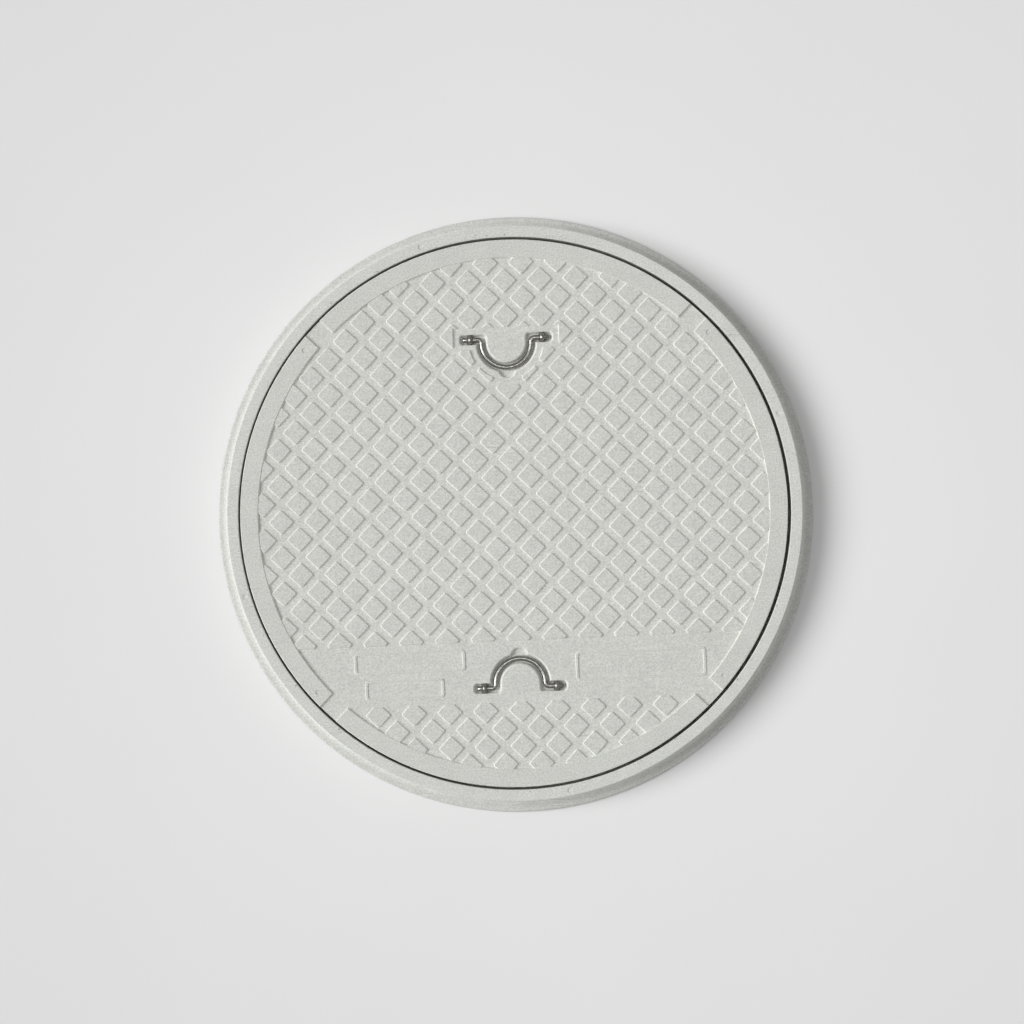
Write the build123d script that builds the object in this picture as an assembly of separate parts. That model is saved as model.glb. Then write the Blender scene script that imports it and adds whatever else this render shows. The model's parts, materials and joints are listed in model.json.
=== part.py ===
from build123d import *
from math import atan2, cos, degrees, hypot, radians, sin, sqrt, tan
import os

# A round manhole cover of moulded glass-fibre plastic, lying in its frame. Millimetres, +Z up.
# The origin is the middle of the frame's underside, and handle A is on the +Y side.

# Heights above the ground face
HEIGHT = 40.0            # tread and frame top, flush with each other
RELIEF = 3.2             # how far the rim stands above the field
STUD_RELIEF = 2.4        # the studs stand a little lower, so the rim's edge runs round past them
PLATE = 5.8              # thickness of the cover's plate under the field
LEDGE = 12.0             # top of the ledge that carries the cover
GASKET = 3.0             # thickness of the seat gasket
FIELD = HEIGHT - RELIEF
PLATE_UNDER = FIELD - PLATE
SEAT = LEDGE + GASKET

# Frame radii
FLANGE_R = 355.6         # 28 inches across
FLANGE_T = 7.0
CURB_R = 341.0           # outer edge of the frame's top
CURB_BORE_R = 327.5      # inner edge of the frame's top
CLEAR_R = 300.0          # clear opening
LIP = 2.5                # lip that keeps the gasket on its ledge
FRAME_WEBS = 48
WEB_T = 5.0

# Cover
COVER_R = 324.4
COVER_X = -0.8           # the cover is loose in its frame, and lies a little towards -X
RIM_R = 303.0            # inner edge of the raised rim, half way up its slope
SKIRT_R = 316.0          # inner face of the skirt that stands on the gasket
SKIRT_SPLAY = 3.0        # straight splay where the plate's underside runs into the skirt
RIB_PITCH = 60.0
RIB_T = 5.0
RIB_FOOT = SEAT + 2.0
RELIEF_SPREAD = 0.6      # a raised edge spreads this far each side of its nominal line
RELIEF_DRAFT = degrees(atan2(2 * RELIEF_SPREAD, STUD_RELIEF))

# Tread studs: squares set on their corners, in a square lattice turned by 45 degrees
STUD = 21.0
STUD_CORNER = 2.0
STUD_PITCH = 30.0
ROW = STUD_PITCH / sqrt(2)
CHANNEL_W = 25.0         # drain channels through the rim, on the diagonals
EJECTOR_R = 3.0          # shallow round marks that the mould's ejector pins leave
EJECTOR_DEPTH = 0.9
BAND_TOP = -151.5        # plain band across the cover, for markings
BAND_BOTTOM = -224.0

# Lifting handles: wire bails, each in a pocket, turning in the eyes of two split pins
WIRE_R = 3.0
PIN_X = 42.75
PIN_Y = 206.8
AXLE_Z = HEIGHT - 6.5
BAIL_R = 29.5
BAIL_BEND = 4.5
FOOT_END = 51.5
BAIL_Y = PIN_Y - BAIL_BEND
EYE_GAP = 0.08           # running clearance of the wire in the eye
SHANK_R = 2.95
SLIT = 0.3
EYE_R = WIRE_R + EYE_GAP + SHANK_R
WASHER_R = 9.0
WASHER_T = 1.6
WASHER_HOLE_R = 3.2
PIN_HOLE_R = 3.4
BOSS_UNDER = HEIGHT - 17.0
LEG_BEND = 2.0           # inside radius where a leg is turned over the washer
LEG_TURN = 80.0
LEG_END = 7.0

# Pockets
POCKET_FLOOR = AXLE_Z - WIRE_R - 0.3
EYE_FLOOR = AXLE_Z - EYE_R
POCKET_HALF = 4.2        # half of the groove's width at its floor
WELL_W = 8.0             # length of the round well under each eye, along the wire
WALL_LEAN = 20.0
LIP_DEPTH = 1.4
LIP_LEAN = 45.0
NOTCH_FLOOR = FIELD - 5.5


def ring(outline, roundings):
    """A solid of revolution from (radius, height) corners; roundings are pairs of a corner and a radius."""
    profile = Plane.XZ * Polygon(*outline, align=None)
    for (radius, height), size in roundings:
        corner = profile.vertices().sort_by_distance((radius, 0, height))[0]
        profile = fillet(corner, size)
    return revolve(profile, Axis.Z)


def ejector_mark(x, y):
    """The space of one ejector-pin mark in a top face."""
    return Pos(x, y, HEIGHT) * Cylinder(EJECTOR_R, 2 * EJECTOR_DEPTH)


def make_frame():
    """An L-shaped ring: a flange on the ground, an upright curb, and a ledge inwards with a lip."""
    foot = CURB_R + 1.7
    bore_foot = CURB_BORE_R - 0.6
    outline = [
        (CLEAR_R, 0),
        (FLANGE_R, 0),
        (FLANGE_R, FLANGE_T),
        (foot, FLANGE_T),
        (CURB_R, HEIGHT),
        (CURB_BORE_R, HEIGHT),
        (bore_foot, LEDGE),
        (CLEAR_R + LIP, LEDGE),
        (CLEAR_R + LIP, LEDGE + 2),
        (CLEAR_R, LEDGE + 2),
    ]
    roundings = [
        ((FLANGE_R, FLANGE_T), 2.5),
        ((foot, FLANGE_T), 9.5),
        ((CURB_R, HEIGHT), 1.2),
        ((CURB_BORE_R, HEIGHT), 1.0),
        ((CLEAR_R, LEDGE + 2), 1.0),
        ((FLANGE_R, 0), 1.0),
    ]
    body = ring(outline, roundings)

    # The underside is cored, and webs cross the hollow.
    core_in = CLEAR_R + 7
    core_out = FLANGE_R - 9
    core = Circle(core_out) - Circle(core_in)
    web = Pos((core_in + core_out) / 2, 0) * Rectangle(core_out - core_in + 4, WEB_T)
    webs = [Rot(0, 0, 360 * n / FRAME_WEBS) * web for n in range(FRAME_WEBS)]
    body -= extrude(core - webs, LEDGE - 6.0)

    middle = (CURB_R + CURB_BORE_R) / 2
    for angle in (18, 107, 195, 279):
        body -= ejector_mark(middle * cos(radians(angle)), middle * sin(radians(angle)))
    return body


def make_gasket():
    """A flat rubber ring on the ledge, with a bead under the cover's skirt."""
    inner = CLEAR_R + LIP + 0.5
    outer = CURB_BORE_R - 1.2
    bead_in = SKIRT_R + 0.5
    bead_out = COVER_R - 1.4
    outline = [
        (inner, LEDGE),
        (outer, LEDGE),
        (outer, SEAT - 0.8),
        (bead_out + 0.8, SEAT - 0.8),
        (bead_out, SEAT),
        (bead_in, SEAT),
        (bead_in - 0.8, SEAT - 0.8),
        (inner, SEAT - 0.8),
    ]
    return ring(outline, [])


def both_ends(shape):
    """The shape as made for handle A, and the same turned half round for handle B."""
    return [shape, Rot(0, 0, 180) * shape]


def recess(outline, floor):
    """The space of a moulded recess: leaning walls from its floor, then a flared lip up to the tread."""
    lip = FIELD - LIP_DEPTH
    walls = extrude(Pos(0, 0, floor) * outline, lip - floor, taper=-WALL_LEAN)
    mouth = walls.faces().sort_by(Axis.Z)[-1]
    return [walls, extrude(mouth, HEIGHT + 1 - lip, taper=-LIP_LEAN)]


def groove():
    """The spaces of the bail's groove: a flared section turned half round, and two straight legs."""
    lip = FIELD - LIP_DEPTH
    wall = (lip - POCKET_FLOOR) * tan(radians(WALL_LEAN))
    flare = HEIGHT + 1 - lip
    half = [
        (POCKET_HALF, POCKET_FLOOR),
        (POCKET_HALF + wall, lip),
        (POCKET_HALF + wall + flare, HEIGHT + 1),
    ]
    outline = [(BAIL_R + x, z) for x, z in half]
    outline += [(BAIL_R - x, z) for x, z in reversed(half)]
    section = Plane.XZ * Polygon(*outline, align=None)
    for x in (BAIL_R + POCKET_HALF, BAIL_R - POCKET_HALF):
        corner = section.vertices().sort_by_distance((x, 0, POCKET_FLOOR))[0]
        section = fillet(corner, 1.8)
    bow = Pos(0, BAIL_Y, 0) * revolve(section, Axis.Z, -180)
    leg = Pos(0, BAIL_Y, 0) * extrude(section, BAIL_BEND, dir=(0, 1, 0))
    return [bow, leg, mirror(leg, Plane.YZ)]


def notch_outline(grow):
    """The finger notch behind the bail: a rounded wedge from the groove towards the cover's middle."""
    near = BAIL_Y - BAIL_R
    far = near - 11.0 - grow
    points = [(-11 - grow, near), (-5 - grow, far), (5 + grow, far), (11 + grow, near)]
    shape = Polygon(*points, align=None)
    return fillet(shape.vertices().sort_by(Axis.Y)[:2], 7.0)


def pocket():
    """Everything cut for handle A: groove, foot slots, eye wells, finger notch and pin holes."""
    foot_in = BAIL_R - POCKET_HALF
    foot_out = FOOT_END + 1.5
    foot_w = foot_out - foot_in
    cuts = groove() + recess(notch_outline(0), NOTCH_FLOOR)
    well_half = EYE_R + 0.05
    lip = FIELD - LIP_DEPTH
    for side in (-1, 1):
        middle = side * (foot_in + foot_out) / 2
        foot = Pos(middle, PIN_Y) * RectangleRounded(foot_w, 2 * POCKET_HALF, 2.5)
        cuts += recess(foot, POCKET_FLOOR)
        cuts.append(Pos(side * PIN_X, PIN_Y, AXLE_Z) * Rot(0, 90, 0) * Cylinder(well_half, WELL_W))
        cuts.append(Pos(side * PIN_X, PIN_Y, (AXLE_Z + lip) / 2) * Box(WELL_W, 2 * well_half, lip - AXLE_Z))
        cuts.append(Pos(side * PIN_X, PIN_Y, EYE_FLOOR) * Cylinder(PIN_HOLE_R, 30))
    return cuts


def pocket_boss():
    """The thickening under handle A's pocket, with a round boss at each pin."""
    half = POCKET_HALF + 5.5
    band = Circle(BAIL_R + half) - Circle(BAIL_R - half)
    band &= Pos(0, -BAIL_R) * Rectangle(3 * BAIL_R, 2 * BAIL_R)
    bar = Pos(0, PIN_Y) * Rectangle(2 * FOOT_END + 14, 2 * half)
    outline = Pos(0, BAIL_Y) * band + bar + notch_outline(6)
    under = POCKET_FLOOR - 5.0
    parts = [Pos(0, 0, under) * extrude(outline, PLATE_UNDER + 1 - under)]
    for side in (-1, 1):
        boss = extrude(Circle(11.5), PLATE_UNDER + 1 - BOSS_UNDER, taper=-3)
        parts.append(Pos(side * PIN_X, PIN_Y, BOSS_UNDER) * boss)
    return parts


def handle_clearing():
    """The space above the plain area round handle A's pocket, where the studs are cut away."""
    far = 220.5
    near = 194.5
    bar = Pos(0, (far + near) / 2) * Rectangle(124, far - near - 2 * RELIEF_SPREAD)
    bow = Pos(0, BAIL_Y) * Circle(BAIL_R + 14.5 - RELIEF_SPREAD)
    throat = Pos(0, 170) * Rectangle(34, 36)
    spaces = [Pos(0, 0, FIELD) * extrude(plan, RELIEF, taper=-RELIEF_DRAFT) for plan in (bar, bow, throat)]
    spaces[1] &= Pos(0, near - 50, FIELD) * Box(120, 120, 20)
    return spaces


def stud_places():
    """Centres of the studs that show inside the rim, leaving out those in the marking band."""
    half = STUD / sqrt(2)
    steps = range(-15, 16)
    places = []
    for row in steps:
        for column in steps:
            x = column * ROW
            y = row * ROW
            in_lattice = (row + column) % 2 == 1
            in_band = BAND_BOTTOM < y < BAND_TOP
            innermost = min(hypot(x, y), hypot(abs(x) - half, y), hypot(x, abs(y) - half))
            if in_lattice and not in_band and innermost < RIM_R - 2.0:
                places.append((x, y))
    return places


def make_studs():
    """The raised studs, each a drafted square with round corners, cut to the rim, band and clearing."""
    base = STUD + 2 * RELIEF_SPREAD
    outline = Rot(0, 0, 45) * RectangleRounded(base, base, STUD_CORNER + RELIEF_SPREAD)
    stud = extrude(outline, STUD_RELIEF, taper=RELIEF_DRAFT)
    clearing = handle_clearing()
    band_w = BAND_TOP - BAND_BOTTOM - 2 * RELIEF_SPREAD
    band = Pos(0, (BAND_TOP + BAND_BOTTOM) / 2) * Rectangle(2 * COVER_R, band_w)
    band_space = Pos(0, 0, FIELD) * extrude(band, RELIEF, taper=-RELIEF_DRAFT)
    inside = Pos(0, 0, FIELD) * extrude(Circle(RIM_R + 10), RELIEF)
    studs = []
    for x, y in stud_places():
        piece = Pos(x, y, FIELD) * stud
        if hypot(x, y) > RIM_R - STUD / 2:
            piece &= inside
        if BAND_BOTTOM - STUD < y < BAND_TOP + STUD:
            piece -= band_space
        if hypot(x, y - BAIL_Y) < 3 * BAIL_R:
            piece = piece.cut(*clearing)
        studs += [solid for solid in piece.solids() if solid.volume > 4.0]
    return studs


def marking_plates():
    """Blank raised frames in the marking band: two small ones to the left, one large to the right."""
    frames = []
    for x, y, width, depth in ((-130, -172, 132, 26), (-137, -204, 94, 24), (143, -185, 154, 35)):
        outer = RectangleRounded(width, depth, 5.0)
        inner = RectangleRounded(width - 7, depth - 7, 2.5)
        frames.append(Pos(x, y, FIELD) * extrude(outer - inner, 1.3, taper=25))
    return frames


def make_ribs():
    """Waffle ribs under the plate, running into the skirt."""
    ribs = []
    for n in range(-5, 6):
        place = n * RIB_PITCH
        half = sqrt((SKIRT_R + 2) ** 2 - place * place)
        height = PLATE_UNDER + 1 - RIB_FOOT
        middle = RIB_FOOT + height / 2
        ribs.append(Pos(0, place, middle) * Box(2 * half, RIB_T, height))
        ribs.append(Pos(place, 0, middle) * Box(RIB_T, 2 * half, height))
    return ribs


def make_cover():
    """The moulding: plate, raised rim, skirt, ribs, pocket bosses, studs and marking frames."""
    slope = RELIEF_SPREAD
    outline = [
        (0, PLATE_UNDER),
        (SKIRT_R - 1 - SKIRT_SPLAY, PLATE_UNDER),
        (SKIRT_R - 1, PLATE_UNDER - SKIRT_SPLAY),
        (SKIRT_R, SEAT),
        (COVER_R - 0.7, SEAT),
        (COVER_R, HEIGHT),
        (RIM_R + slope, HEIGHT),
        (RIM_R - slope, FIELD),
        (0, FIELD),
    ]
    roundings = [((COVER_R, HEIGHT), 1.0), ((COVER_R - 0.7, SEAT), 0.8)]
    body = ring(outline, roundings)
    bosses = []
    for boss in pocket_boss():
        bosses += both_ends(boss)
    body = body.fuse(*make_ribs(), *bosses)

    # Drain channels through the rim, one on each diagonal
    half = CHANNEL_W / 2
    spread = RELIEF_SPREAD
    section = Polygon(
        (-half + spread, FIELD), (half - spread, FIELD), (half + spread, HEIGHT), (-half - spread, HEIGHT),
        align=None,
    )
    channel = extrude(Plane(origin=(RIM_R - 6, 0, 0), x_dir=(0, 1, 0), z_dir=(1, 0, 0)) * section, 40)
    body = body.fuse(*make_studs())
    channels = [Rot(0, 0, angle) * channel for angle in (45, 135, 225, 315)]
    cuts = []
    for cut in pocket():
        cuts += both_ends(cut)
    body = body.cut(*channels, *cuts)
    body = body.fuse(*marking_plates())

    # Ejector-pin marks on the rim, one beside each channel
    for x in (-240, 240):
        for y in (-203, 203):
            body -= ejector_mark(x, y)
    return body


def make_bail():
    """Handle A: one length of round wire, a half circle with its two feet turned outwards."""
    left_foot = Line((-FOOT_END, PIN_Y, AXLE_Z), (-BAIL_R - BAIL_BEND, PIN_Y, AXLE_Z))
    path = left_foot
    path += TangentArc(path @ 1, (-BAIL_R, BAIL_Y, AXLE_Z), tangent=(1, 0, 0))
    path += TangentArc((-BAIL_R, BAIL_Y, AXLE_Z), (BAIL_R, BAIL_Y, AXLE_Z), tangent=(0, -1, 0))
    path += TangentArc((BAIL_R, BAIL_Y, AXLE_Z), (BAIL_R + BAIL_BEND, PIN_Y, AXLE_Z), tangent=(0, 1, 0))
    path += Line((BAIL_R + BAIL_BEND, PIN_Y, AXLE_Z), (FOOT_END, PIN_Y, AXLE_Z))
    start = Plane(origin=(-FOOT_END, PIN_Y, AXLE_Z), z_dir=(1, 0, 0))
    bail = sweep(start * Circle(WIRE_R), path=path)
    ends = bail.edges().filter_by(GeomType.CIRCLE).group_by(Axis.X)
    return chamfer(ends[0] + ends[-1], 0.6)


def make_split_pin():
    """A split pin of half-round wire, its eye round the origin along X, its legs turned over below."""
    half_plane = Pos(0, SLIT / 2 + SHANK_R) * Rectangle(4 * SHANK_R, 2 * SHANK_R)
    section = Circle(SHANK_R) & half_plane
    flat_r = WIRE_R + EYE_GAP
    body = revolve(Pos(0, flat_r - SLIT / 2) * section, Axis.X)
    bend_z = BOSS_UNDER - WASHER_T - AXLE_Z
    shank = extrude(Circle(SHANK_R), -flat_r - 0.3 - bend_z)
    body += Pos(0, 0, bend_z) * shank
    slit_height = 1.0 - flat_r - bend_z
    body -= Pos(0, 0, bend_z + slit_height / 2) * Box(4 * SHANK_R, SLIT, slit_height)

    turn = Axis((0, SHANK_R + LEG_BEND, bend_z), (1, 0, 0))
    leg = revolve(Pos(0, 0, bend_z) * section, turn, LEG_TURN)
    tip = leg.faces().filter_by(GeomType.PLANE).sort_by(Axis.Y)[-1]
    leg += extrude(tip, LEG_END)
    return body.fuse(leg, mirror(leg, Plane.XZ)).clean()


def make_washer():
    """A plain washer under a pin's boss, with its outer edges broken."""
    disc = Circle(WASHER_R) - Circle(WASHER_HOLE_R)
    washer = extrude(disc, -WASHER_T)
    rims = [edge for edge in washer.edges().filter_by(GeomType.CIRCLE) if edge.radius > WASHER_R - 0.1]
    return Pos(0, 0, BOSS_UNDER) * chamfer(rims, 0.3)


def main():
    bail = make_bail()
    pin = make_split_pin()
    washer = make_washer()
    nodes = {
        "frame": make_frame(),
        "seat_gasket": make_gasket(),
        "cover": Pos(COVER_X, 0, 0) * make_cover(),
        "handle_a": Pos(COVER_X, 0, 0) * bail,
        "handle_b": Pos(COVER_X, 0, 0) * Rot(0, 0, 180) * bail,
    }
    for handle, y in (("a", PIN_Y), ("b", -PIN_Y)):
        for side, x in (("left", -PIN_X), ("right", PIN_X)):
            nodes[f"split_pin_{handle}_{side}"] = Pos(COVER_X + x, y, AXLE_Z) * pin
            nodes[f"pin_washer_{handle}_{side}"] = Pos(COVER_X + x, y, 0) * washer
    os.makedirs("parts", exist_ok=True)
    for name, solid in nodes.items():
        export_step(solid, f"parts/{name}.step")


main()
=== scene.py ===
import json
import math
import bmesh
import bpy
import numpy as np
from mathutils import Matrix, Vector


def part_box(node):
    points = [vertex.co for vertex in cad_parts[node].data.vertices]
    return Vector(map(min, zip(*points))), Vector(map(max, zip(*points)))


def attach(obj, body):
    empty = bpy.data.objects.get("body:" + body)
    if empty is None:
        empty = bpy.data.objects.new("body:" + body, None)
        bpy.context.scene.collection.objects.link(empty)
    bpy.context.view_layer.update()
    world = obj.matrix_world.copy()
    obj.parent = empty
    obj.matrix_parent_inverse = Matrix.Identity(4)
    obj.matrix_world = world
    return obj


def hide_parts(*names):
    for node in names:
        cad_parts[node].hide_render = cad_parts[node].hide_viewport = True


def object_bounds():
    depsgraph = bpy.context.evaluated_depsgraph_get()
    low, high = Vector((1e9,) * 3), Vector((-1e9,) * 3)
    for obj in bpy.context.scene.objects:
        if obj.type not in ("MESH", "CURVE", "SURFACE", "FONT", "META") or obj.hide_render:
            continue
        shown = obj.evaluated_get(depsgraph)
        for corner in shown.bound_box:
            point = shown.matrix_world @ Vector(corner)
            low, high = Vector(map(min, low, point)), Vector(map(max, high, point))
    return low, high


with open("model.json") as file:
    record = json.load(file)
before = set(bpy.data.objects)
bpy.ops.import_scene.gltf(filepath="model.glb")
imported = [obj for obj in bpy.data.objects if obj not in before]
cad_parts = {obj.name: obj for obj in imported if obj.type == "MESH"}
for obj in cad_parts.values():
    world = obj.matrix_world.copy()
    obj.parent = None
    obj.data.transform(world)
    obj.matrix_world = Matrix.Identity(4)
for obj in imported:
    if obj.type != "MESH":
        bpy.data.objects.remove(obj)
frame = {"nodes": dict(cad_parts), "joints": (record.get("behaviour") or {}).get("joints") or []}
cad_low, cad_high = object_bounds()


# ---- Frame -------------------------------------------------------------------------------------
# An L-shaped ring, compression-moulded in light grey polyester with chopped glass fibre. It is
# bedded in the paving round a shaft, so its outside is scuffed and pin-holed more than the cover.

MM = 0.001
MOULD_ROUND = 0.4 * MM   # how far a moulded edge is rounded back
ROUNDED_TURN = 20        # degrees; an edge that turns less is part of a curve and stays
CREASE_TURN = 35         # degrees; an edge that turns more after rounding is shaded as a crease
FLAT_TURN = 1            # degrees; faces that turn less are one flat
SHOWN_FROM = 30 * MM     # edges above this height are rounded
FRAME_WELD = 0.05 * MM   # corners of the frame's mesh nearer than this are merged
COVER_WELD = 0.7 * MM    # the same for the cover's mesh
SEAT_GAP = 3.1 * MM      # between the cover's edge and the frame's curb
PINHOLE_SPACING = 13 * MM


def rounded_copy(node, name, weld):
    """A copy of a node's mesh with corners nearer than weld merged and each sharp edge above SHOWN_FROM
    rounded in two steps: a point moves back along both faces by MOULD_ROUND, less where two edges are too
    close, and the arc between turns by half in each step."""
    shape = bmesh.new()
    shape.from_mesh(frame["nodes"][node].data)
    for distance in (0.01 * MM, weld):
        bmesh.ops.remove_doubles(shape, verts=shape.verts, dist=distance)
    bmesh.ops.dissolve_degenerate(shape, edges=shape.edges, dist=0.001 * MM)
    bmesh.ops.dissolve_limit(
        shape, angle_limit=math.radians(FLAT_TURN), verts=shape.verts, edges=shape.edges,
    )
    sharp = [
        edge for edge in shape.edges
        if len(edge.link_faces) == 2 and edge.calc_face_angle() > math.radians(ROUNDED_TURN)
    ]
    high = [edge for edge in sharp if max(end.co.z for end in edge.verts) > SHOWN_FROM]
    bmesh.ops.bevel(
        shape, geom=high, offset=MOULD_ROUND, offset_type="OFFSET",
        segments=2, profile=0.5, affect="EDGES", clamp_overlap=True,
    )
    for face in shape.faces:
        face.smooth = True
    for edge in shape.edges:
        if len(edge.link_faces) == 2 and edge.calc_face_angle() > math.radians(CREASE_TURN):
            edge.smooth = False
    mesh = bpy.data.meshes.new(name)
    shape.to_mesh(mesh)
    shape.free()
    piece = bpy.data.objects.new(name, mesh)
    bpy.context.scene.collection.objects.link(piece)
    normals = piece.modifiers.new("flats stay flat", "WEIGHTED_NORMAL")
    normals.keep_sharp = True
    return piece


def linear(hex_colour):
    """A linear colour from sRGB hex: c / 12.92 up to 0.04045, and ((c + 0.055) / 1.055) ^ 2.4 above it."""
    parts = np.array([int(hex_colour[i:i + 2], 16) for i in (1, 3, 5)]) / 255
    shades = np.where(parts <= 0.04045, parts / 12.92, ((parts + 0.055) / 1.055) ** 2.4)
    return shades.tolist()


def add(tree, kind, inputs=None, **settings):
    """Adds a node: settings are its properties, and inputs gives each socket a value, an output, or a node,
    which stands for its first output."""
    made = tree.nodes.new(kind)
    for name, value in settings.items():
        setattr(made, name, value)
    for socket, value in (inputs or {}).items():
        if isinstance(value, bpy.types.Node):
            value = value.outputs[0]
        if isinstance(value, bpy.types.NodeSocket):
            tree.links.new(value, made.inputs[socket])
        else:
            made.inputs[socket].default_value = value
    return made


def new_material(name):
    """An empty node material: the material and its tree."""
    material = bpy.data.materials.new(name)
    material.use_nodes = True
    material.node_tree.nodes.clear()
    return material, material.node_tree


def moulded_polyester(name, colour, dirt_radius, dirt_reach, pinholes, painted_slope_highlight, scuffs):
    """Sheet moulding compound, pressed hot in a matt steel mould. It is a flat light grey with a fine even
    grain from its filler, cloudy where the resin flowed, crossed by faint glass strands, and pricked by a few
    dark pinholes. Each effect is a factor near 1, and the surface is the colour times all the factors.

    Dirt gathers within dirt_reach of the circle of dirt_radius, both in metres. The widest pinhole has a
    radius of pinholes times the spacing. Slopes carry a painted highlight: they are painted up to
    painted_slope_highlight times as bright as level faces. A larger scuffs leaves more of the face scuffed."""
    material, tree = new_material(name)
    place = add(tree, "ShaderNodeTexCoord").outputs["Object"]
    filler = add(tree, "ShaderNodeTexNoise", {
        "Vector": place, "Scale": 1 / (1.9 * MM), "Detail": 2.0, "Roughness": 0.6,
    })
    flow = add(tree, "ShaderNodeTexNoise", {
        "Vector": place, "Scale": 1 / (24 * MM), "Detail": 5.0, "Roughness": 0.6,
    })
    shades = [
        add(tree, "ShaderNodeMapRange", {
            "Value": filler, "From Min": 0.30, "From Max": 0.70, "To Min": 0.83, "To Max": 1.17,
        }),
        add(tree, "ShaderNodeMapRange", {
            "Value": flow, "From Min": 0.35, "From Max": 0.65, "To Min": 0.97, "To Max": 1.03,
        }),
    ]

    # Glass strands, 1.2 mm wide and 25 mm long, lying at three angles
    for angle in (20, 75, 140):
        turned = add(tree, "ShaderNodeMapping", {
            "Vector": place, "Rotation": (0, 0, math.radians(angle)),
            "Scale": (1 / (25 * MM), 1 / (1.2 * MM), 40),
        })
        strands = add(tree, "ShaderNodeTexNoise", {"Vector": turned, "Scale": 1.0, "Detail": 1.0})
        shades.append(add(tree, "ShaderNodeMapRange", {
            "Value": strands, "From Min": 0.62, "From Max": 0.75, "To Min": 1.0, "To Max": 0.95,
        }))

    # Scuffs from boots and barrows, 0.8 mm wide and 60 mm long, only here and there: dark ones one way
    # and pale ones the other
    worn = add(tree, "ShaderNodeTexNoise", {"Vector": place, "Scale": 1 / (45 * MM), "Detail": 1.0})
    for angle, strongest in ((33, 0.80), (118, 1.14)):
        turned = add(tree, "ShaderNodeMapping", {
            "Vector": place, "Rotation": (0, 0, math.radians(angle)),
            "Scale": (1 / (60 * MM), 1 / (0.8 * MM), 30),
        })
        streaks = add(tree, "ShaderNodeTexNoise", {"Vector": turned, "Scale": 1.0, "Detail": 0.0})
        scuff = add(tree, "ShaderNodeMath", {0: streaks, 1: worn}, operation="ADD")
        shades.append(add(tree, "ShaderNodeMapRange", {
            "Value": scuff, "From Min": 1.50 - scuffs, "From Max": 1.58 - scuffs,
            "To Min": 1.0, "To Max": strongest,
        }))

    # Pinholes and specks, most of them under 1 mm across and none over about 2 mm
    cells = add(tree, "ShaderNodeTexVoronoi", {"Vector": place, "Scale": 1 / PINHOLE_SPACING})
    patches = add(tree, "ShaderNodeTexNoise", {"Vector": place, "Scale": 1 / (60 * MM), "Detail": 2.0})
    reach = add(tree, "ShaderNodeMapRange", {
        "Value": patches, "From Min": 0.5, "From Max": 0.75, "To Min": 0.02, "To Max": pinholes,
    })
    hole = add(tree, "ShaderNodeMath", {0: cells, 1: reach}, operation="DIVIDE")
    shades.append(add(tree, "ShaderNodeMapRange", {
        "Value": hole, "From Min": 0.7, "From Max": 1.3, "To Min": 0.55, "To Max": 1.0,
    }))

    # Dirt in small crumbs, by distance from the ring of dirt_radius
    across = add(tree, "ShaderNodeVectorMath", {0: place, 1: (1, 1, 0)}, operation="MULTIPLY")
    radius = add(tree, "ShaderNodeVectorMath", {0: across}, operation="LENGTH").outputs["Value"]
    away = add(tree, "ShaderNodeMath", {0: radius, 1: dirt_radius}, operation="SUBTRACT")
    away = add(tree, "ShaderNodeMath", {0: away}, operation="ABSOLUTE")
    near = add(tree, "ShaderNodeMapRange", {
        "Value": away, "From Min": 0.0, "From Max": dirt_reach, "To Min": 0.16, "To Max": 0.0,
    })
    crumbs = add(tree, "ShaderNodeTexNoise", {
        "Vector": place, "Scale": 1 / (3.5 * MM), "Detail": 4.0, "Roughness": 0.7,
    })
    soil = add(tree, "ShaderNodeMath", {0: near, 1: crumbs}, operation="ADD")
    shades.append(add(tree, "ShaderNodeMapRange", {
        "Value": soil, "From Min": 0.74, "From Max": 0.84, "To Min": 1.0, "To Max": 0.5,
    }))

    # Painted highlight: the drafted slopes, whose normals lean between level and upright, are painted paler
    # than level faces and upright walls, standing in for the light that catches the studs' edges
    facing = add(tree, "ShaderNodeSeparateXYZ", {0: add(tree, "ShaderNodeTexCoord").outputs["Normal"]})
    off_level = add(tree, "ShaderNodeMapRange", {
        "Value": facing.outputs["Z"], "From Min": 0.62, "From Max": 0.97, "To Min": 1.0, "To Max": 0.0,
    })
    off_upright = add(tree, "ShaderNodeMapRange", {
        "Value": facing.outputs["Z"], "From Min": 0.10, "From Max": 0.30, "To Min": 0.0, "To Max": 1.0,
    })
    sloping = add(tree, "ShaderNodeMath", {0: off_level, 1: off_upright}, operation="MULTIPLY")
    shades.append(add(tree, "ShaderNodeMapRange", {"Value": sloping, "To Min": 1.0, "To Max": painted_slope_highlight}))

    # The lowest centimetre, next to the ground, is painted darker towards the bottom
    above_ground = add(tree, "ShaderNodeSeparateXYZ", {0: place}).outputs["Z"]
    shades.append(add(tree, "ShaderNodeMapRange", {
        "Value": above_ground, "From Min": 3 * MM, "From Max": 11 * MM, "To Min": 0.82, "To Max": 1.0,
    }))

    shade = shades[0]
    for further in shades[1:]:
        shade = add(tree, "ShaderNodeMath", {0: shade, 1: further}, operation="MULTIPLY")
    coloured = add(
        tree, "ShaderNodeVectorMath", {"Vector": linear(colour), "Scale": shade}, operation="SCALE",
    )
    gloss = add(tree, "ShaderNodeMapRange", {
        "Value": flow, "From Min": 0.3, "From Max": 0.7, "To Min": 0.52, "To Max": 0.66,
    })

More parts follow.
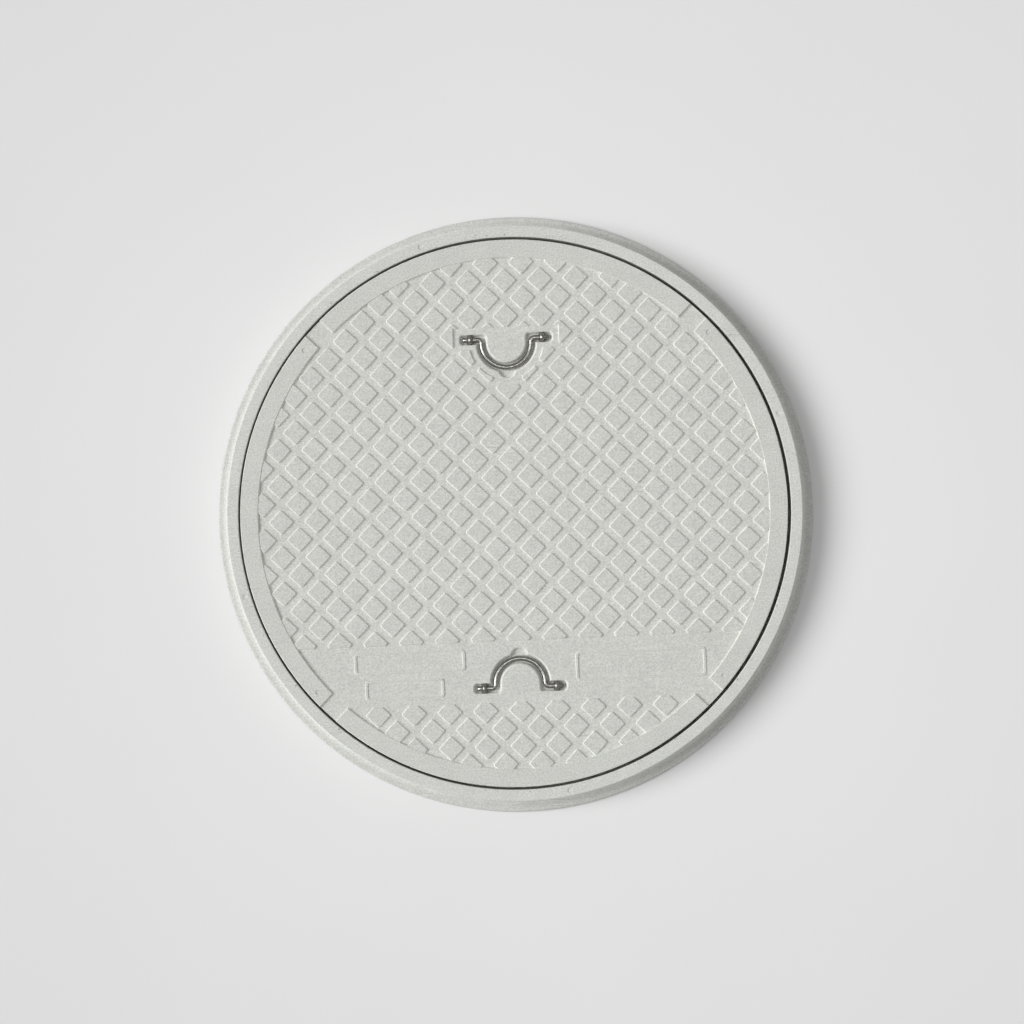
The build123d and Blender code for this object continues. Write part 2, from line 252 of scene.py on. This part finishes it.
    # The mould's matt texture, and the wavy skin that the resin leaves as it shrinks
    skin = add(tree, "ShaderNodeTexNoise", {"Vector": place, "Scale": 1 / (7 * MM), "Detail": 2.0})
    waves = add(tree, "ShaderNodeBump", {"Height": skin, "Strength": 0.5, "Distance": 0.15 * MM})
    texture = add(tree, "ShaderNodeBump", {
        "Height": filler, "Normal": waves, "Strength": 0.35, "Distance": 0.12 * MM,
    })
    shader = add(tree, "ShaderNodeBsdfPrincipled", {
        "Base Color": coloured, "Roughness": gloss, "Normal": texture, "IOR": 1.52,
    })
    add(tree, "ShaderNodeOutputMaterial", {"Surface": shader})
    return material


cover_low, cover_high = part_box("cover")
cover_radius = (cover_high.x - cover_low.x) / 2
curb_bore = cover_radius + SEAT_GAP
frame_ring = rounded_copy("frame", "frame_ring", FRAME_WELD)
# The frame's drafted slopes get a painted highlight, a little weaker than the cover's
frame_ring.data.materials.append(moulded_polyester(
    "compression-moulded polyester, frame", colour="#CACBC6", dirt_radius=curb_bore + 2 * MM,
    dirt_reach=9 * MM, pinholes=0.075, painted_slope_highlight=1.22, scuffs=0.16,
))
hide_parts("frame")
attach(frame_ring, "frame")


# ---- Seat gasket -------------------------------------------------------------------------------
# A flat ring of black EPDM rubber with a raised bead, laid on the frame's ledge. The cover's skirt
# rests on the bead, which keeps water and smells in and stops the cover rattling.


def black_rubber():
    """EPDM rubber, extruded and vulcanised: nearly black, matt, with paler cloudy patches of bloom."""
    material, tree = new_material("extruded EPDM rubber")
    place = add(tree, "ShaderNodeTexCoord").outputs["Object"]
    bloom = add(tree, "ShaderNodeTexNoise", {"Vector": place, "Scale": 1 / (14 * MM), "Detail": 5.0})
    shade = add(tree, "ShaderNodeMapRange", {
        "Value": bloom, "From Min": 0.35, "From Max": 0.7, "To Min": 0.7, "To Max": 1.6,
    })
    coloured = add(
        tree, "ShaderNodeVectorMath", {"Vector": linear("#262624"), "Scale": shade}, operation="SCALE",
    )
    grit = add(tree, "ShaderNodeTexNoise", {"Vector": place, "Scale": 1 / (0.8 * MM), "Detail": 2.0})
    rough = add(tree, "ShaderNodeBump", {"Height": grit, "Strength": 0.4, "Distance": 0.05 * MM})
    shader = add(tree, "ShaderNodeBsdfPrincipled", {
        "Base Color": coloured, "Roughness": 0.78, "Normal": rough, "IOR": 1.5,
    })
    add(tree, "ShaderNodeOutputMaterial", {"Surface": shader})
    return material


gasket = frame["nodes"]["seat_gasket"]
gasket.data.materials.clear()
gasket.data.materials.append(black_rubber())


# ---- Cover -------------------------------------------------------------------------------------
# One moulding of the same compound: a tread plate with square studs, a raised rim, a skirt and
# waffle ribs below. Feet keep the tread clean, so it has fewer scuffs and smaller pinholes.

cover = rounded_copy("cover", "cover_plate", COVER_WELD)
# The cover's drafted stud slopes get a painted highlight
cover.data.materials.append(moulded_polyester(
    "compression-moulded polyester, cover", colour="#C6C7C1", dirt_radius=cover_radius,
    dirt_reach=4 * MM, pinholes=0.05, painted_slope_highlight=1.38, scuffs=0.08,
))
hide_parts("cover")
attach(cover, "cover")


# ---- Split pins and washers --------------------------------------------------------------------
# Each handle hangs in the eyes of two split pins of half-round stainless wire. Their legs pass
# down through the cover's bosses and are turned over stamped stainless washers.


def stainless(name, colour, roughness, stretch):
    """Austenitic stainless steel, a warm grey. Drawing or stamping leaves fine lines; stretch is the length
    of a line along X, Y and Z in metres, and the dull handling marks are a few millimetres wide. The
    roughness is the polished value, and the marks add up to 0.16 to it."""
    material, tree = new_material(name)
    place = add(tree, "ShaderNodeTexCoord").outputs["Object"]
    drawn = add(tree, "ShaderNodeMapping", {"Vector": place, "Scale": [1 / length for length in stretch]})
    lines = add(tree, "ShaderNodeTexNoise", {"Vector": drawn, "Scale": 1.0, "Detail": 3.0})
    marks = add(tree, "ShaderNodeTexNoise", {"Vector": place, "Scale": 1 / (3.5 * MM), "Detail": 4.0})
    dull = add(tree, "ShaderNodeMapRange", {
        "Value": marks, "From Min": 0.35, "From Max": 0.7, "To Min": roughness, "To Max": roughness + 0.16,
    })
    shade = add(tree, "ShaderNodeMapRange", {
        "Value": marks, "From Min": 0.4, "From Max": 0.75, "To Min": 1.0, "To Max": 0.62,
    })
    coloured = add(
        tree, "ShaderNodeVectorMath", {"Vector": linear(colour), "Scale": shade}, operation="SCALE",
    )
    scored = add(tree, "ShaderNodeBump", {"Height": lines, "Strength": 0.3, "Distance": 0.02 * MM})
    shader = add(tree, "ShaderNodeBsdfPrincipled", {
        "Base Color": coloured, "Metallic": 1.0, "Roughness": dull, "Normal": scored,
    })
    add(tree, "ShaderNodeOutputMaterial", {"Surface": shader})
    return material


pin_steel = stainless(
    "drawn stainless wire, half-round", "#A09E99", roughness=0.28, stretch=(2 * MM, 2 * MM, 0.3 * MM),
)
washer_steel = stainless(
    "stamped stainless sheet", "#BDBCB8", roughness=0.34, stretch=(6 * MM, 0.3 * MM, 6 * MM),
)
for node, piece in frame["nodes"].items():
    if "pin" in node:
        piece.data.materials.clear()
        piece.data.materials.append(washer_steel if "washer" in node else pin_steel)


# ---- Lifting handles ---------------------------------------------------------------------------
# A bail of 6 mm stainless wire: a half circle whose two feet turn outwards into the pins' eyes.
# The wire is drawn, cut with a small chamfer at each end, and bent cold, which leaves it smooth.

BEND = 4.5 * MM          # radius of the bend between the half circle and a foot
CHAMFER = 0.6 * MM
AROUND = 24              # points round the wire
BEND_POINTS = 12         # points along a bend
BOW_POINTS = 97          # points along the half circle


def arc(centre, radius, start, end, points):
    """Points on a level circle: centre + radius * (cos t, sin t), with t from start to end degrees."""
    turn = np.radians(np.linspace(start, end, points))
    return np.array(centre) + radius * np.stack([np.cos(turn), np.sin(turn)], axis=1)


def bent_wire(name, centres, height, radius, end_radii):
    """A round wire along level points: centre + r * (cos t * side + sin t * up), where side is square to the
    path, t goes once round the wire, and r shrinks to end_radii at the two ends, which are capped."""
    along = np.gradient(centres, axis=0)
    along /= np.linalg.norm(along, axis=1, keepdims=True)
    side = np.stack([along[:, 1], -along[:, 0]], axis=1)
    count = len(centres)
    radii = np.full(count, radius)
    radii[[0, -1]] = end_radii
    turn = np.linspace(0, 2 * math.pi, AROUND, endpoint=False)
    points = np.empty((count, AROUND, 3))
    points[..., :2] = centres[:, None] + (radii[:, None] * np.cos(turn))[..., None] * side[:, None]
    points[..., 2] = height + radii[:, None] * np.sin(turn)
    i, j = np.meshgrid(np.arange(count - 1), np.arange(AROUND), indexing="ij")
    k = (j + 1) % AROUND
    quads = np.stack(
        [i * AROUND + j, i * AROUND + k, (i + 1) * AROUND + k, (i + 1) * AROUND + j], axis=-1,
    )
    faces = quads.reshape(-1, 4).tolist()
    faces.append(list(range(AROUND))[::-1])
    faces.append(list(range((count - 1) * AROUND, count * AROUND)))
    mesh = bpy.data.meshes.new(name)
    mesh.from_pydata(points.reshape(-1, 3).tolist(), [], faces)
    shape = bmesh.new()
    shape.from_mesh(mesh)
    bmesh.ops.recalc_face_normals(shape, faces=shape.faces)
    shape.to_mesh(mesh)
    shape.free()
    mesh.polygons.foreach_set("use_smooth", [True] * (len(faces) - 2) + [False] * 2)
    piece = bpy.data.objects.new(name, mesh)
    bpy.context.scene.collection.objects.link(piece)
    return piece


bail_steel = stainless(
    "drawn stainless wire, round", "#9C9B96", roughness=0.24, stretch=(4 * MM, 4 * MM, 0.3 * MM),
)
for joint in frame["joints"]:
    if joint["type"] != "hinge":
        continue
    node = joint["child"]
    low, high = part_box(node)
    foot_y, height = joint["pos_m"][1:]
    outwards = math.copysign(1, foot_y)
    wire_radius = (high.z - low.z) / 2
    middle_x = (low.x + high.x) / 2
    foot_end = (high.x - low.x) / 2
    bow_radius = abs(foot_y) - min(abs(low.y), abs(high.y)) - wire_radius - BEND
    bow_centre = (0, abs(foot_y) - BEND)
    bend_x = bow_radius + BEND
    foot_along = (-foot_end, -foot_end + CHAMFER, -(foot_end + bend_x) / 2)
    left = np.concatenate([
        [(along, abs(foot_y)) for along in foot_along],
        arc((-bend_x, bow_centre[1]), BEND, 90, 0, BEND_POINTS),
    ])
    bow = arc(bow_centre, bow_radius, 180, 360, BOW_POINTS)[1:-1]
    right = (left * (-1, 1))[::-1]
    route = np.concatenate([left, bow, right]) * outwards + (middle_x, 0)
    bail = bent_wire("lifting_" + node, route, height, wire_radius, wire_radius - CHAMFER)
    bail.data.materials.append(bail_steel)
    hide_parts(node)
    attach(bail, node)


# ---- Floor, light and camera -------------------------------------------------------------------
# A pale matt floor, a wide soft key light on the left, a pool of light from straight above, and a dim
# even room. The camera looks down from 3.4 m, about 3 degrees off the vertical.

FLOOR_HALF = 6.0
ROOM_LIGHT = 0.32
KEY_STRENGTH = 2.58
KEY_WIDTH = 34           # degrees that the light spans, seen from the object
KEY_BEARING = 177.6      # degrees round from +X, so almost -X
KEY_RISE = 42            # degrees above the floor
POOL_POWER = 150
POOL_HEIGHT = 4
POOL_CONE = 29.6         # degrees from side to side
POOL_RADIUS = 0.9
LENS = 101
SENSOR = 36
LOOKED_AT = (-2.3 * MM, 0.4 * MM)
CAMERA_HEIGHT = 3.395    # above the cover's top
CAMERA_RIGHT = 104 * MM
CAMERA_BACK = 128 * MM
CAMERA_TURN = -2.43      # degrees about the vertical

floor_mesh = bpy.data.meshes.new("floor")
corners = [(x * FLOOR_HALF, y * FLOOR_HALF, 0) for x, y in ((-1, -1), (1, -1), (1, 1), (-1, 1))]
floor_mesh.from_pydata(corners, [], [(0, 1, 2, 3)])
floor = bpy.data.objects.new("floor", floor_mesh)
bpy.context.scene.collection.objects.link(floor)
paint, floor_tree = new_material("matt studio paint")
place = add(floor_tree, "ShaderNodeTexCoord").outputs["Object"]
roller = add(floor_tree, "ShaderNodeTexNoise", {"Vector": place, "Scale": 1 / (300 * MM), "Detail": 2.0})
even = add(floor_tree, "ShaderNodeMapRange", {"Value": roller, "To Min": 0.985, "To Max": 1.015})
pale = add(
    floor_tree, "ShaderNodeVectorMath", {"Vector": linear("#E3E3E3"), "Scale": even}, operation="SCALE",
)
matt = add(floor_tree, "ShaderNodeBsdfPrincipled", {"Base Color": pale, "Roughness": 0.9, "IOR": 1.4})
add(floor_tree, "ShaderNodeOutputMaterial", {"Surface": matt})
floor_mesh.materials.append(paint)

world = bpy.data.worlds.new("room")
bpy.context.scene.world = world
world.use_nodes = True
world.node_tree.nodes["Background"].inputs["Color"].default_value = (1, 1, 1, 1)
world.node_tree.nodes["Background"].inputs["Strength"].default_value = ROOM_LIGHT


def aimed(made, place, target=(0, 0, 0), up=(0, 1, 0)):
    """Puts a light or the camera at a place, looking at the target, with up upwards in its view: its axes
    are right = up x away, upright = away x right, and away, each made a unit long."""
    away = np.subtract(place, target, dtype=float)
    away /= np.linalg.norm(away)
    right = np.cross(up, away)
    right /= np.linalg.norm(right)
    made.location = place
    made.rotation_euler = Matrix([right, np.cross(away, right), away]).transposed().to_euler()
    bpy.context.scene.collection.objects.link(made)
    return made


key = bpy.data.lights.new("key", "SUN")
key.energy = KEY_STRENGTH
key.angle = math.radians(KEY_WIDTH)
bearing, rise = math.radians(KEY_BEARING), math.radians(KEY_RISE)
aimed(bpy.data.objects.new("key", key), (
    math.cos(bearing) * math.cos(rise), math.sin(bearing) * math.cos(rise), math.sin(rise),
))

pool = bpy.data.lights.new("pool", "SPOT")
pool.energy = POOL_POWER
pool.spot_size = math.radians(POOL_CONE)
pool.spot_blend = 1.0
pool.shadow_soft_size = POOL_RADIUS
aimed(bpy.data.objects.new("pool", pool), (0, 0, POOL_HEIGHT))

turn = math.radians(CAMERA_TURN)
view_right = np.array([math.cos(turn), math.sin(turn), 0])
view_up = np.array([-math.sin(turn), math.cos(turn), 0])
looked_at = np.array([*LOOKED_AT, cad_high.z])
camera_data = bpy.data.cameras.new("camera")
camera_data.lens = LENS
camera_data.sensor_width = SENSOR
camera = aimed(
    bpy.data.objects.new("camera", camera_data),
    looked_at + CAMERA_RIGHT * view_right - CAMERA_BACK * view_up + (0, 0, CAMERA_HEIGHT),
    looked_at, view_up,
)
bpy.context.scene.camera = camera
bpy.context.scene.view_settings.view_transform = "Standard"
